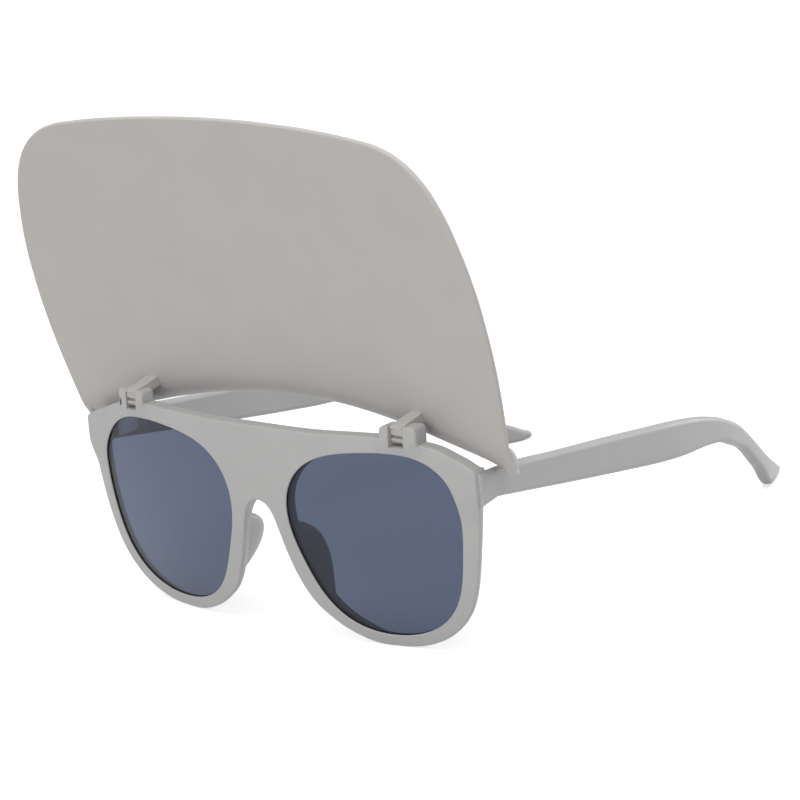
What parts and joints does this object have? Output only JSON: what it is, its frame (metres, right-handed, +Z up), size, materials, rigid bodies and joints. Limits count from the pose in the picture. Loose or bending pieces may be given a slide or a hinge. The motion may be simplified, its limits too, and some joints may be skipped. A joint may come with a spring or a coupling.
{
  "type": "flip-up visor sunglasses",
  "caption": "Full-rim sunglasses with folding temples and a wide curved sun visor that flips on brow hinges.",
  "frame": {"origin": "middle of the whole object's box on the surface that the rim feet and the temple tips stand on, with the visor raised and the temples open", "axes": "+X to the wearer's left, +Y backwards from the front of the glasses to the temple tips, +Z up"},
  "size_m": [0.1624, 0.1558, 0.1372],
  "materials": {
    "frame": "satin grey moulded plastic",
    "visor": "satin warm grey moulded plastic",
    "lens": "polished blue-grey tinted plastic",
    "steel": "plain steel"
  },
  "bodies": {
    "front": {"front_frame": "frame", "lens_left": "lens", "lens_right": "lens", "visor_pin_left": "frame", "visor_pin_right": "frame", "front_hinge_leaf_left": "steel", "front_hinge_leaf_right": "steel", "hinge_screw_left": "steel", "hinge_screw_right": "steel"},
    "visor": {"visor_panel": "visor", "visor_arm_left": "visor", "visor_arm_right": "visor"},
    "temple_left": {"temple_left": "frame", "temple_hinge_leaf_left": "steel"},
    "temple_right": {"temple_right": "frame", "temple_hinge_leaf_right": "steel"}
  },
  "joints": [
    {"name": "visor_flip", "type": "hinge", "parent": "front", "child": "visor", "pos_m": [0, -0.07063, 0.05722], "axis": [1, 0, 0], "range_deg": [0, 80]},
    {"name": "temple_left_fold", "type": "hinge", "parent": "front", "child": "temple_left", "pos_m": [0.0662, -0.06332, 0.0451], "axis": [0, 0, 1], "range_deg": [0, 82]},
    {"name": "temple_right_fold", "type": "hinge", "parent": "front", "child": "temple_right", "pos_m": [-0.0662, -0.06332, 0.0451], "axis": [0, 0, -1], "range_deg": [0, 70]}
  ]
}
